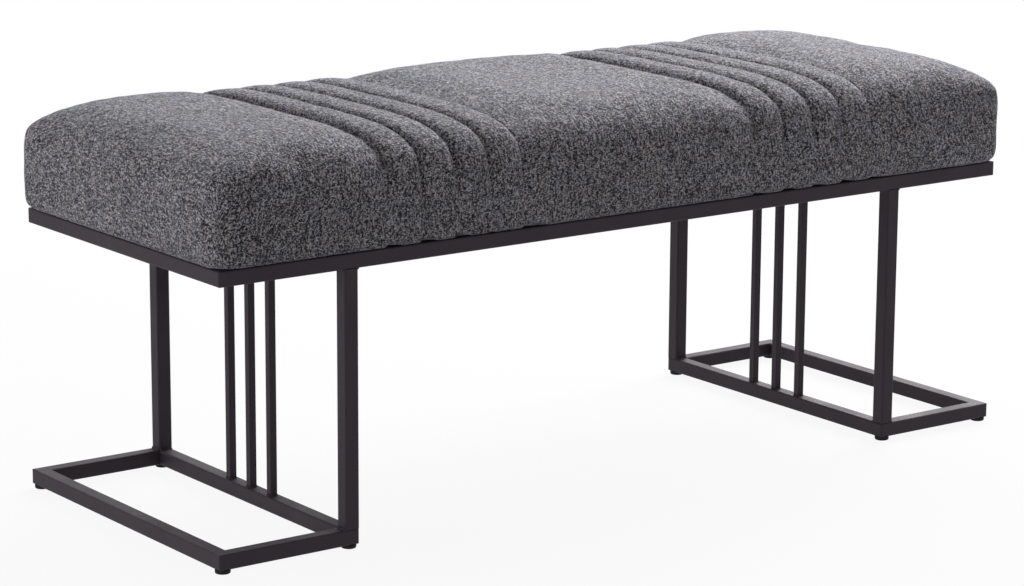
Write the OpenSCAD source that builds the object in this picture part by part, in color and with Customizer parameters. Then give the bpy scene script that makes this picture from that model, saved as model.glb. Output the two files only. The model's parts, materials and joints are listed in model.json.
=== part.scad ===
// Upholstered banquette bench: a welded square-tube frame on two foot rings,
// with a crowned, channel-sewn seat cushion. +X runs along the bench,
// +Y to its rear and +Z up; the origin is on the floor under its middle.

/* [Seat frame] */
// Length of the seat frame, outside to outside
frame_len = 1200; // [1120:5:1500]
// Depth of the seat frame, outside to outside
frame_depth = 450; // [400:5:520]
// Side of the square frame tube
tube = 19; // [17:0.5:22]
// Wall of the square frame tube
tube_wall = 1.5; // [1:0.1:2]
// Rounding along the tube's edges
tube_edge_r = 2.4; // [0.8:0.1:3]
// Rounding down the outside of each mitred corner
mitre_edge_r = 3; // [1:0.25:3.5]

/* [Legs] */
// Width of each foot ring, along the bench
ring_width = 192; // [150:1:230]
// How far each foot ring stands out past the seat frame's end
ring_proud = 4; // [0:0.5:10]
// Length of the posts, from the foot ring up to the seat frame
post_len = 313; // [250:1:380]
// Side of the thin square bars between the posts
bar = 9.5; // [7:0.5:12]
// Rounding along the thin bars' edges
bar_edge_r = 0.8; // [0.4:0.1:1.4]
// Spacing of the thin bars, centre to centre
bar_pitch = 47; // [35:0.5:60]

/* [Levelling feet] */
// Height of a foot, from the floor to the foot ring's underside
foot_h = 5; // [4:0.5:8]
// Diameter of a foot pad
pad_d = 18.5; // [14:0.5:20]
// Rounding of the pad's bottom edge
pad_edge_r = 1.8; // [0.8:0.1:2.4]
// Gap between the pad and the foot ring with the foot screwed home
pad_gap = 0.3; // [0.2:0.05:0.5]
// Thickness of the pad under its stud
pad_floor = 2; // [1.5:0.25:3]
// Diameter of the foot's stud
stud_d = 6; // [5:0.5:7]
// Room above the stud inside the tube
stud_room = 2.5; // [1.5:0.25:4]
// Outer diameter of the threaded insert in the ring's corner
insert_d = 10; // [9:0.5:12]
// Length of the threaded insert
insert_len = 9; // [6:0.5:11]
// Running clearance around the stud, on the radius
thread_gap = 0.05; // [0.02:0.01:0.1]

/* [Seat base] */
// Thickness of the plywood seat board
board_t = 15; // [12:0.5:20]
// How far the board's edge lies inside the seat frame's outside
board_inset = 10; // [8:0.5:14]
// Rounding of the board's corners
board_corner_r = 22; // [12:1:30]
// Thickness of the cover's cloth under the board
cloth_t = 1.5; // [1:0.1:2.5]
// Width of the cloth turned in under the board
turn_in = 24; // [18:0.5:25]
// Thickness of the dust cover
dust_t = 1; // [0.6:0.1:1.4]
// Clearance around soft pieces
soft_gap = 0.3; // [0.2:0.05:0.5]

/* [Seat fixings] */
// Length of a fixing tab, in from the rail
tab_len = 30; // [26:0.5:36]
// Width of a fixing tab
tab_w = 30; // [24:0.5:40]
// Thickness of a fixing tab
tab_t = 3; // [2:0.25:4]
// Distance of the fixing hole from the rail
tab_hole_in = 16; // [14:0.5:18]
// Distance of the outer fixings from the bench's middle line
fixing_y = 120; // [80:1:150]
// Diameter of the seat screws
screw_d = 6; // [5:0.5:7]
// Clearance around a screw, on the radius
screw_gap = 0.3; // [0.2:0.05:0.5]
// Diameter of a screw's head
head_d = 11; // [9:0.5:13]
// Height of a screw's head
head_h = 3.2; // [2.5:0.1:4]
// Length of the short screws, under the head
short_screw_len = 14; // [12:0.5:16]
// Wall of a tee nut's barrel
nut_wall = 0.9; // [0.6:0.1:1.3]
// Length of a tee nut's barrel
nut_len = 9; // [7:0.5:10]
// Diameter of a tee nut's flange
nut_flange_d = 19; // [16:0.5:22]
// Thickness of a tee nut's flange
nut_flange_t = 1.2; // [0.8:0.1:1.6]

/* [Cushion] */
// How far the cushion swells out past the seat frame
cushion_proud = 9; // [4:0.5:14]
// Height of the cushion at the crown of its panels
cushion_h = 140; // [120:1:170]
// How far the wide panels stand up above the seams
panel_rise = 12; // [6:0.5:16]
// How far the narrow ribs stand up above the seams
rib_rise = 9.5; // [4:0.5:12]
// Distance of the first seam from the bench's middle
first_seam = 179; // [150:1:190]
// Spacing of the seams
seam_pitch = 49; // [40:0.5:50]
// Distance over which a wide panel falls to its seam
panel_fall = 70; // [40:1:90]
// How far a seam draws in the cushion's long sides
seam_draw = 4; // [2:0.5:6]
// Height of the shoulder where the sides begin to lean in
shoulder_h = 35; // [28:1:45]
// Distance over which the top rolls down to its sides
roll_len = 200; // [120:5:210]
// Rounding of the cushion's upright corners
corner_r = 28; // [18:1:36]
// How far the cushion's sides are drawn in at the bottom
tuck_in = 12; // [8:0.5:16]
// Height at which the sides turn under
tuck_h = 9; // [6:0.5:14]
// How far the foam lies inside the cushion's outside
foam_inset = 11; // [8:0.5:14]
// Thickness of the quilted cloth over the foam's top
quilt_t = 10; // [7:0.5:14]

/* [Hidden] */

frame_black = "#232325";
pad_black = "#1a1a1b";
plated_steel = "#b4b4b0";
plywood = "#c9a878";
foam_cream = "#e6dfc4";
dust_black = "#17171a";
cloth_grey = "#868589";

// How far a cutting shape passes through what it cuts
over = 1;
// Steps round a small and a large circle
small_steps = 32;
large_steps = 64;

// Heights above the floor
ring_top = foot_h + tube;
rail_bottom = ring_top + post_len;
rail_top = rail_bottom + tube;

// Places along and across the bench, from its middle
half_len = frame_len / 2;
half_depth = frame_depth / 2;
ring_outer_x = half_len + ring_proud;
ring_inner_x = ring_outer_x - ring_width;
ring_mid_x = ring_outer_x - ring_width / 2;
post_x = ring_inner_x + tube / 2;
corner_x = ring_outer_x - tube / 2;
post_y = half_depth - tube / 2;

// Levelling feet
pad_h = foot_h - pad_gap;
stud_top = ring_top - tube_wall - stud_room;
insert_gap = thread_gap;

// Seat base, with heights measured from the floor
board_half_len = half_len - board_inset;
board_half_depth = half_depth - board_inset;
board_bottom = rail_top + cloth_t;
board_top = board_bottom + board_t;
screw_hole_d = screw_d + 2 * screw_gap;
nut_d = screw_d + 2 * thread_gap + 2 * nut_wall;
long_screw_end_gap = nut_flange_t / 2;

// Places of the seat fixings
end_tab_x = half_len - tube - tab_hole_in;
mid_tab_y = half_depth - tube - tab_hole_in;
tab_fixings = [
  [-end_tab_x, -fixing_y], [-end_tab_x, fixing_y],
  [end_tab_x, -fixing_y], [end_tab_x, fixing_y],
  [0, -mid_tab_y], [0, mid_tab_y]
];
cross_fixings = [
  [-post_x, -fixing_y], [-post_x, fixing_y],
  [post_x, -fixing_y], [post_x, fixing_y]
];
fixings = concat(tab_fixings, cross_fixings);

// Cushion outline
cushion_half_len = half_len + cushion_proud;
cushion_half_depth = half_depth + cushion_proud;
seam_h = cushion_h - panel_rise;
ribs_per_group = 4;
last_seam = first_seam + ribs_per_group * seam_pitch;

// Powers that shape the roll of the top, its corners and its swells
roll_power = 3.5;
roll_root = 5;
corner_power = 4;
swell_power = 2.2;
// How much of the draw-in at the bottom is left where the sides turn under
tuck_share = 0.28;

// Where the surface is sampled, as shares of what each row of points spans
depth_shares = [0.145, 0.65, 0.874, 0.965, 0.995, 1];
middle_panel_shares = [0, 0.6, 0.88, 0.965];
rib_shares = [0, 1 / 6, 1 / 2, 5 / 6];
end_panel_shares = [0, 0.03, 0.1, 0.3, 0.65, 0.874, 0.965, 0.995, 1];
foam_shares = [0.3, 0.72, 0.9, 0.97, 0.995, 1];

// Each list of places is given for the positive side and then mirrored
function mirrored(places) = concat(
  [for (k = [len(places) - 1 : -1 : 0]) if (places[k] > 0) -places[k]],
  places
);
function scaled(shares, size) = [for (share = shares) share * size];

seamed_x = mirrored(concat(
  scaled(middle_panel_shares, first_seam),
  [for (rib = [0 : ribs_per_group - 1]) for (share = rib_shares) first_seam + (rib + share) * seam_pitch],
  [for (share = end_panel_shares) last_seam + share * (cushion_half_len - last_seam)]
));
seamed_y = mirrored(scaled(depth_shares, cushion_half_depth));

// Share of the full height reached at a distance in from the side
function roll(in_from_side) =
  pow(1 - pow(1 - min(in_from_side / roll_len, 1), roll_power), 1 / roll_root);

// Two such shares together, so that the corners fall away
function both_rolls(a, b) =
  min(a, b) <= 0 ? 0 : pow(pow(a, -corner_power) + pow(b, -corner_power) - 1, -1 / corner_power);

// How close a place along the bench is to a seam: 1 on it, 0 where the swell is full
function seam_nearness(x) =
  let (along = abs(x))
  along < first_seam ? pow(1 - min((first_seam - along) / panel_fall, 1), swell_power) :
  along > last_seam ? pow(1 - min((along - last_seam) / panel_fall, 1), swell_power) :
  let (turn = (along - first_seam) / seam_pitch)
  pow(abs(2 * (turn - floor(turn)) - 1), swell_power);

function full_rise(x) = abs(x) < first_seam || abs(x) > last_seam ? panel_rise : rib_rise;

// How far an upright corner's rounding moves a point, along each side
function corner_move(in_x, in_y) =
  corner_r * (1 - sqrt(1 / 2)) * pow(max(0, 1 - in_x / corner_r), 2) * pow(max(0, 1 - in_y / corner_r), 2);

// A point of a cushion's top, for a cushion of the given half length, half depth and seam height
function top_point(x, y, half_x, half_y, flat_h, seamed) =
  let (
    in_x = half_x - abs(x),
    in_y = half_y - abs(y),
    side = roll(in_y),
    share = both_rolls(roll(in_x), side),
    near = seamed ? seam_nearness(x) : 1,
    rise = seamed ? full_rise(x) * (1 - near) : 0,
    draw = seamed ? seam_draw * near * 4 * side * (1 - side) : 0,
    corner = corner_move(in_x, in_y)
  )
  [
    x - sign(x) * corner,
    y - sign(y) * (corner + draw),
    shoulder_h + (flat_h - shoulder_h) * share + rise * sqrt(share)
  ];

// The top's rim, in steps of both directions, anticlockwise from above
function rim(last_i, last_j) = concat(
  [for (i = [0 : last_i]) [i, 0]],
  [for (j = [1 : last_j]) [last_i, j]],
  [for (i = [last_i - 1 : -1 : 0]) [i, last_j]],
  [for (j = [last_j - 1 : -1 : 1]) [0, j]]
);

// A closed cushion: its rolled top, its sides through the levels given as
// [height, draw-in], and a flat bottom at the last of them
module cushion_form(xs, ys, half_x, half_y, flat_h, levels, seamed) {
  last_i = len(xs) - 1;
  last_j = len(ys) - 1;
  rows = last_j + 1;
  top = [for (x = xs) for (y = ys) top_point(x, y, half_x, half_y, flat_h, seamed)];
  edge = rim(last_i, last_j);
  count = len(edge);
  edge_ids = [for (p = edge) p[0] * rows + p[1]];
  sides = [
    for (level = levels) for (id = edge_ids)
      [top[id][0] * (1 - level[1] / half_x), top[id][1] * (1 - level[1] / half_y), level[0]]
  ];
  first_side = len(top);
  middle = first_side + len(sides);
  bottom_h = levels[len(levels) - 1][0];
  top_faces = [
    for (i = [0 : last_i - 1]) for (j = [0 : last_j - 1])
      let (a = i * rows + j, b = a + rows)
      each [[a, a + 1, b + 1], [a, b + 1, b]]
  ];
  // Ring 0 is the top's own rim, and ring k the k-th level
  side_faces = [
    for (ring = [0 : len(levels) - 1]) for (k = [0 : count - 1])
      let (
        next = (k + 1) % count,
        start = first_side + (ring - 1) * count,
        a = ring == 0 ? edge_ids[k] : start + k,
        b = ring == 0 ? edge_ids[next] : start + next,
        c = first_side + ring * count + k,
        d = first_side + ring * count + next
      )
      each [[a, b, d], [a, d, c]]
  ];
  bottom_faces = [for (k = [0 : count - 1]) [middle, middle - count + k, middle - count + (k + 1) % count]];
  polyhedron(
    points = concat(top, sides, [[0, 0, bottom_h]]),
    faces = concat(top_faces, side_faces, bottom_faces),
    convexity = 6
  );
}

// The foam's shape, drawn in from the cushion's outside by foam_inset less some room
module foam_form(room) {
  half_x = cushion_half_len - foam_inset + room;
  half_y = cushion_half_depth - foam_inset + room;
  cushion_form(
    mirrored(scaled(foam_shares, half_x)), mirrored(scaled(foam_shares, half_y)),
    half_x, half_y, seam_h - quilt_t + room, [[cloth_t + board_t - room, 0]], false
  );
}

module rounded_square(size, r) {
  square([size, size - 2 * r], center = true);
  square([size - 2 * r, size], center = true);
  for (x = [-1, 1], y = [-1, 1])
    translate([x * (size / 2 - r), y * (size / 2 - r)])
      circle(r, $fn = small_steps);
}

module rounded_plate(half_x, half_y, r, t) {
  linear_extrude(t) {
    square([2 * half_x, 2 * (half_y - r)], center = true);
    square([2 * (half_x - r), 2 * half_y], center = true);
    for (x = [-1, 1], y = [-1, 1])
      translate([x * (half_x - r), y * (half_y - r)])
        circle(r, $fn = large_steps);
  }
}

// Square tube standing on the origin
module square_tube(length) {
  linear_extrude(length) difference() {
    rounded_square(tube, tube_edge_r);
    square(tube - 2 * tube_wall, center = true);
  }
}

// What rounding takes off the outside of a mitred corner at the origin
module corner_waste() {
  translate([0, 0, -over]) linear_extrude(tube + 2 * over) difference() {
    translate([-over, -over]) square(over + mitre_edge_r);
    translate([mitre_edge_r, mitre_edge_r]) circle(mitre_edge_r, $fn = small_steps);
  }
}

// Tube lying along X with its outer face on y = 0 and its underside on z = 0,
// mitred at both ends towards +Y
module mitred_tube(length) {
  mitre_len = 2 * tube;
  difference() {
    translate([-length / 2, tube / 2, tube / 2]) rotate([0, 90, 0]) square_tube(length);
    for (turn = [0, 1]) mirror([turn, 0, 0]) translate([-length / 2, 0, 0]) {
      translate([0, 0, -over]) rotate([0, 0, 45]) translate([-over, 0, 0])
        cube([mitre_len, mitre_len, tube + 2 * over]);
      corner_waste();
    }
  }
}

// The same tube with a hole for a threaded insert under each mitre
module ring_tube(length) {
  difference() {
    mitred_tube(length);
    for (x = [-1, 1]) translate([x * (length - tube) / 2, tube / 2, -over])
      cylinder(d = insert_d + 2 * insert_gap, h = tube_wall + 2 * over, $fn = small_steps);
  }
}

module to_right() {
  mirror([1, 0, 0]) children();
}

module to_rear() {
  mirror([0, 1, 0]) children();
}

// Pieces of the seat frame
module long_rail() {
  color(frame_black) translate([0, -half_depth, rail_bottom]) mitred_tube(frame_len);
}

module end_rail() {
  color(frame_black) translate([-half_len, 0, rail_bottom]) rotate([0, 0, -90]) mitred_tube(frame_depth);
}

module cross_rail() {
  inner_depth = frame_depth - 2 * tube;
  color(frame_black) difference() {
    translate([-post_x, -inner_depth / 2, rail_bottom + tube / 2]) rotate([-90, 0, 0]) square_tube(inner_depth);
    for (y = [-fixing_y, fixing_y]) translate([-post_x, y, rail_bottom - over])
      cylinder(d = screw_hole_d, h = tube + 2 * over, $fn = small_steps);
  }
}

// A flat tab welded to the inside of a rail at the origin and reaching to +Y
module tab() {
  difference() {
    translate([-tab_w / 2, 0, rail_top - tab_t]) cube([tab_w, tab_len, tab_t]);
    translate([0, tab_hole_in, rail_top - tab_t - over])
      cylinder(d = screw_hole_d, h = tab_t + 2 * over, $fn = small_steps);
  }
}

module seat_tabs() {
  color(frame_black) {
    for (x = [0, 1], y = [-fixing_y, fixing_y]) mirror([x, 0, 0])
      translate([-half_len + tube, y, 0]) rotate([0, 0, -90]) tab();
    for (y = [0, 1]) mirror([0, y, 0])
      translate([0, -half_depth + tube, 0]) tab();
  }
}

// Pieces of a foot ring and its uprights, at the left of the bench
module outer_ring_bar() {
  color(frame_black) translate([-ring_outer_x, 0, foot_h]) rotate([0, 0, -90]) ring_tube(frame_depth);
}

module inner_ring_bar() {
  color(frame_black) translate([-ring_inner_x, 0, foot_h]) rotate([0, 0, 90]) ring_tube(frame_depth);
}

module front_ring_bar() {
  color(frame_black) translate([-ring_mid_x, -half_depth, foot_h]) ring_tube(ring_width);
}

module post() {
  color(frame_black) translate([-post_x, -post_y, ring_top]) square_tube(post_len);
}

module thin_bar(place) {
  color(frame_black) translate([-post_x, place * bar_pitch, ring_top])
    linear_extrude(post_len) rounded_square(bar, bar_edge_r);
}

// A threaded insert and a levelling foot, on the axis of a ring's corner
module insert() {
  translate([0, 0, foot_h]) difference() {
    cylinder(d = insert_d, h = insert_len, $fn = small_steps);
    translate([0, 0, -over])
      cylinder(d = stud_d + 2 * thread_gap, h = insert_len + 2 * over, $fn = small_steps);
  }
}

module pad() {
  flat_r = pad_d / 2 - pad_edge_r;
  color(pad_black) difference() {
    rotate_extrude($fn = large_steps) {
      square([flat_r, pad_h]);
      translate([0, pad_edge_r]) square([pad_d / 2, pad_h - pad_edge_r]);
      translate([flat_r, pad_edge_r]) intersection() {
        circle(pad_edge_r, $fn = small_steps);
        translate([0, -pad_edge_r]) square(pad_edge_r);
      }
    }
    translate([0, 0, pad_floor])
      cylinder(d = stud_d + 2 * thread_gap, h = foot_h, $fn = small_steps);
  }
}

module stud() {
  color(plated_steel) translate([0, 0, pad_floor])
    cylinder(d = stud_d, h = stud_top - pad_floor, $fn = small_steps);
}

module at_outer_corner() {
  translate([-corner_x, -post_y, 0]) children();
}

module at_inner_corner() {
  translate([-post_x, -post_y, 0]) children();
}

module threaded_inserts() {
  color(plated_steel) for (x = [0, 1], y = [0, 1]) mirror([x, 0, 0]) mirror([0, y, 0]) {
    at_outer_corner() insert();
    at_inner_corner() insert();
  }
}

// The seat
module seat_board() {
  flange_room = nut_flange_d + 2 * thread_gap;
  color(plywood) translate([0, 0, board_bottom]) difference() {
    rounded_plate(board_half_len, board_half_depth, board_corner_r, board_t);
    for (place = fixings) translate([place[0], place[1], 0]) {
      translate([0, 0, -over]) cylinder(d = nut_d + 2 * thread_gap, h = board_t + 2 * over, $fn = small_steps);
      translate([0, 0, board_t - nut_flange_t]) cylinder(d = flange_room, h = nut_flange_t + over, $fn = small_steps);
    }
  }
}

module foam_core() {
  color(foam_cream) translate([0, 0, rail_top]) foam_form(0);
}

module seat_cover() {
  opening_half_len = cushion_half_len - tuck_in - turn_in;
  opening_half_depth = cushion_half_depth - tuck_in - turn_in;
  color(cloth_grey) translate([0, 0, rail_top]) difference() {
    cushion_form(
      seamed_x, seamed_y, cushion_half_len, cushion_half_depth, seam_h,
      [[tuck_h, tuck_in * tuck_share], [0, tuck_in]], true
    );
    foam_form(soft_gap);
    translate([0, 0, cloth_t]) rounded_plate(
      board_half_len + soft_gap, board_half_depth + soft_gap, board_corner_r + soft_gap, board_t
    );
    translate([0, 0, -over]) linear_extrude(cloth_t + 2 * over)
      square([2 * opening_half_len, 2 * opening_half_depth], center = true);
  }
}

module dust_cover() {
  half_x = cushion_half_len - tuck_in - turn_in - soft_gap;
  half_y = cushion_half_depth - tuck_in - turn_in - soft_gap;
  color(dust_black) translate([0, 0, board_bottom - dust_t]) difference() {
    linear_extrude(dust_t) square([2 * half_x, 2 * half_y], center = true);
    for (place = fixings) translate([place[0], place[1], -over])
      cylinder(d = screw_hole_d, h = dust_t + 2 * over, $fn = small_steps);
  }
}

// A round-headed screw with the underside of its head at z = 0
module screw(length) {
  socket_d = head_d / 2;
  socket_depth = head_h / 2;
  difference() {
    union() {
      cylinder(d = screw_d, h = length, $fn = small_steps);
      translate([0, 0, -head_h]) cylinder(d = head_d, h = head_h, $fn = small_steps);
    }
    translate([0, 0, -head_h - over]) cylinder(d = socket_d, h = socket_depth + over, $fn = 6);
  }
}

module tab_screws() {
  color(plated_steel) for (place = tab_fixings)
    translate([place[0], place[1], rail_top - tab_t]) screw(short_screw_len);
}

module cross_rail_screws() {
  color(plated_steel) for (place = cross_fixings)
    translate([place[0], place[1], rail_bottom]) screw(board_top - long_screw_end_gap - rail_bottom);
}

module tee_nuts() {
  color(plated_steel) for (place = fixings) translate([place[0], place[1], board_top]) difference() {
    union() {
      translate([0, 0, -nut_flange_t]) cylinder(d = nut_flange_d, h = nut_flange_t, $fn = small_steps);
      translate([0, 0, -nut_len]) cylinder(d = nut_d, h = nut_len, $fn = small_steps);
    }
    translate([0, 0, -nut_len - over])
      cylinder(d = screw_d + 2 * thread_gap, h = nut_len + 2 * over, $fn = small_steps);
  }
}

// Named pieces
module front_rail() { long_rail(); }
module rear_rail() { to_rear() long_rail(); }
module left_end_rail() { end_rail(); }
module right_end_rail() { to_right() end_rail(); }
module left_cross_rail() { cross_rail(); }
module right_cross_rail() { to_right() cross_rail(); }

module left_outer_ring_bar() { outer_ring_bar(); }
module left_inner_ring_bar() { inner_ring_bar(); }
module left_front_ring_bar() { front_ring_bar(); }
module left_rear_ring_bar() { to_rear() front_ring_bar(); }
module right_outer_ring_bar() { to_right() outer_ring_bar(); }
module right_inner_ring_bar() { to_right() inner_ring_bar(); }
module right_front_ring_bar() { to_right() front_ring_bar(); }
module right_rear_ring_bar() { to_right() to_rear() front_ring_bar(); }

module left_front_post() { post(); }
module left_rear_post() { to_rear() post(); }
module right_front_post() { to_right() post(); }
module right_rear_post() { to_right() to_rear() post(); }

module left_front_bar() { thin_bar(-1); }
module left_middle_bar() { thin_bar(0); }
module left_rear_bar() { thin_bar(1); }
module right_front_bar() { to_right() thin_bar(-1); }
module right_middle_bar() { to_right() thin_bar(0); }
module right_rear_bar() { to_right() thin_bar(1); }

module left_outer_front_pad() { at_outer_corner() pad(); }
module left_outer_rear_pad() { to_rear() at_outer_corner() pad(); }
module left_inner_front_pad() { at_inner_corner() pad(); }
module left_inner_rear_pad() { to_rear() at_inner_corner() pad(); }
module right_outer_front_pad() { to_right() at_outer_corner() pad(); }
module right_outer_rear_pad() { to_right() to_rear() at_outer_corner() pad(); }
module right_inner_front_pad() { to_right() at_inner_corner() pad(); }
module right_inner_rear_pad() { to_right() to_rear() at_inner_corner() pad(); }

module left_outer_front_stud() { at_outer_corner() stud(); }
module left_outer_rear_stud() { to_rear() at_outer_corner() stud(); }
module left_inner_front_stud() { at_inner_corner() stud(); }
module left_inner_rear_stud() { to_rear() at_inner_corner() stud(); }
module right_outer_front_stud() { to_right() at_outer_corner() stud(); }
module right_outer_rear_stud() { to_right() to_rear() at_outer_corner() stud(); }
module right_inner_front_stud() { to_right() at_inner_corner() stud(); }
module right_inner_rear_stud() { to_right() to_rear() at_inner_corner() stud(); }

front_rail();
rear_rail();
left_end_rail();
right_end_rail();
left_cross_rail();
right_cross_rail();
seat_tabs();
left_outer_ring_bar();
left_inner_ring_bar();
left_front_ring_bar();
left_rear_ring_bar();
right_outer_ring_bar();
right_inner_ring_bar();
right_front_ring_bar();
right_rear_ring_bar();
left_front_post();
left_rear_post();
right_front_post();
right_rear_post();
left_front_bar();
left_middle_bar();
left_rear_bar();
right_front_bar();
right_middle_bar();
right_rear_bar();
threaded_inserts();
left_outer_front_pad();
left_outer_rear_pad();
left_inner_front_pad();
left_inner_rear_pad();
right_outer_front_pad();
right_outer_rear_pad();
right_inner_front_pad();
right_inner_rear_pad();
left_outer_front_stud();
left_outer_rear_stud();
left_inner_front_stud();
left_inner_rear_stud();
right_outer_front_stud();
right_outer_rear_stud();
right_inner_front_stud();
right_inner_rear_stud();
seat_board();
foam_core();
seat_cover();
dust_cover();
tab_screws();
cross_rail_screws();
tee_nuts();
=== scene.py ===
"""Dresses the packed upholstered bench: cushion, welds, threads, dust cover, finishes, stage and camera."""
import json
import math
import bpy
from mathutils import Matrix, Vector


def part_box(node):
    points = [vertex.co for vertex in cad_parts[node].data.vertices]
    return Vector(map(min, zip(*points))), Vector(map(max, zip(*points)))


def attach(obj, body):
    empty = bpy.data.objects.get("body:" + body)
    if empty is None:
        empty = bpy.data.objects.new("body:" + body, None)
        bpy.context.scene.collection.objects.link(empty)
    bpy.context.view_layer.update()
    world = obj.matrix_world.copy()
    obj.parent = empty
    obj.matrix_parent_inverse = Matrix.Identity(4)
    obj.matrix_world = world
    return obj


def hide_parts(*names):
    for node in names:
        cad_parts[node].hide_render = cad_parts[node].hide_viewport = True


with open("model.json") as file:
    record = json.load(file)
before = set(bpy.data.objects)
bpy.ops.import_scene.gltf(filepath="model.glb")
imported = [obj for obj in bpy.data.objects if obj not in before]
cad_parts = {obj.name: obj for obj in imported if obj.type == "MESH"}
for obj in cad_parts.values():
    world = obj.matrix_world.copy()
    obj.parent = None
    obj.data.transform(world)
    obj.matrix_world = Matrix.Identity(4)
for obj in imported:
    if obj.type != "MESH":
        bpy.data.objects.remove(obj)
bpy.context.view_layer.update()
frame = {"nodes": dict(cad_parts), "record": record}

from types import SimpleNamespace

import bmesh
import bpy
from bpy.props import FloatProperty, FloatVectorProperty, IntProperty, PointerProperty
from mathutils import Matrix, Vector, noise

bl_info = {
    "name": "Upholstered bench",
    "version": (1, 0, 0),
    "blender": (4, 5, 0),
    "location": "3D View > Sidebar > Bench",
    "description": "Dresses the packed bench frame with its cushion, small parts, finishes and stage",
    "category": "Object",
}

SIDES = ("left", "right")
ENDS = ("front", "rear")
FEET = [f"{side}_{ring}_{end}" for side in SIDES for ring in ("outer", "inner") for end in ENDS]
THIN_BARS = [f"{side}_{at}_bar" for side in SIDES for at in ("front", "middle", "rear")]
POSTS = [f"{side}_{end}_post" for side in SIDES for end in ENDS]


def length(name, description, default):
    return FloatProperty(
        name=name, description=description, default=default, precision=4, subtype="DISTANCE", unit="LENGTH",
    )


def share(name, description, default):
    return FloatProperty(name=name, description=description, default=default, min=0, max=1, subtype="FACTOR")


def number(name, description, default):
    return FloatProperty(name=name, description=description, default=default)


def whole(name, description, default):
    return IntProperty(name=name, description=description, default=default, min=1)


def angle(name, description, default):
    return FloatProperty(
        name=name, description=description, default=math.radians(default), precision=5,
        subtype="ANGLE", unit="ROTATION",
    )


def colour(name, description, default):
    return FloatVectorProperty(
        name=name, description=description, default=default, size=3, min=0, max=1, subtype="COLOR",
    )


def place(name, description, default):
    return FloatVectorProperty(
        name=name, description=description, default=default, size=3, precision=4,
        subtype="TRANSLATION", unit="LENGTH",
    )


class CushionSizes(bpy.types.PropertyGroup):
    """The cushion's shape"""
    first_seam: length("First seam", "Distance of the first seam from the bench's middle", 0.179)
    seam_pitch: length("Seam spacing", "Distance between neighbouring seams", 0.049)
    ribs: whole("Ribs", "Narrow ribs in each group", 4)
    panel_rise: length("Panel rise", "How far the wide panels stand up above the seams", 0.012)
    rib_rise: length("Rib rise", "How far the narrow ribs stand up above the seams", 0.009)
    panel_fall: length("Panel fall", "Distance over which a wide panel falls to its seam", 0.070)
    panel_shape: number("Panel shape", "Power of a wide panel's fall to its seam: higher is flatter", 2.2)
    rib_shape: number("Rib shape", "Power of a rib's fall to its seams: higher is flatter", 4.2)
    seam_draw: length("Seam draw", "How far a seam draws in the long sides", 0.004)
    shoulder: length("Shoulder", "Height at which the sides begin to lean in", 0.035)
    roll: length("Roll", "Distance over which the top rolls down to its sides", 0.200)
    corner: length("Corner rounding", "Rounding of the upright corners", 0.028)
    tuck: length("Tuck", "How far the sides are drawn in at the bottom", 0.012)
    turn_in: length("Turn-in", "Width of the cloth turned in under the board", 0.024)
    cloth: length("Cloth thickness", "Thickness of the cover's cloth under the board", 0.0015)
    board: length("Board room", "Height of the room that the cover leaves for the board", 0.0153)
    board_inset: length("Board inset", "How far the board's room lies inside the cushion's side", 0.0187)
    coarse: length("Mesh spacing", "Spacing of the cover's mesh before it is divided", 0.0088)
    fine: length("Seam mesh spacing", "Spacing of the cover's mesh beside a seam", 0.0016)
    preload: share("Preload", "Share of its swelling by which the cover starts smaller", 0.95)
    pressure: number("Filling pressure", "Pressure of the filling in the cloth simulation", 4.0)
    frames: whole("Frames", "Frames that the cloth simulation runs", 20)
    cap: length("Swell limit", "How far the simulation may move the cloth", 0.006)
    crease: length("Crease depth", "Depth of the sewn crease along each seam", 0.0028)
    crease_half: length("Crease half width", "Half width of the sewn crease", 0.0024)
    pucker: length("Pucker", "Height of the small folds beside the seams", 0.0006)
    unevenness: length("Unevenness", "Height of the cloth's soft waves", 0.0006)
    scallop: length("Scallop", "How far a seam's end lifts the bottom edge", 0.0026)


class ClothLook(bpy.types.PropertyGroup):
    """The cover's cloth"""
    yarn: length("Yarn spacing", "Spacing of the weave's yarns", 0.0013)
    wander: length("Yarn wander", "How far the yarns wander from straight lines", 0.0016)
    black: colour("Black yarn", "Colour of the darkest fibres", (0.013, 0.012, 0.0133))
    dark: colour("Dark yarn", "Colour of the dark yarns", (0.094, 0.088, 0.0962))
    middle: colour("Middle yarn", "Colour of the grey yarns", (0.37, 0.349, 0.379))
    light: colour("Light yarn", "Colour of the light yarns", (0.99, 0.948, 1.0))
    warm: colour("Warm dye", "Tint of the cloth's warmer patches", (1.0, 0.965, 0.925))
    cool: colour("Cool dye", "Tint of the cloth's cooler patches", (0.935, 0.965, 1.0))
    sheen: share("Sheen", "Strength of the fibres' sheen at low angles", 0.34)


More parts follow.
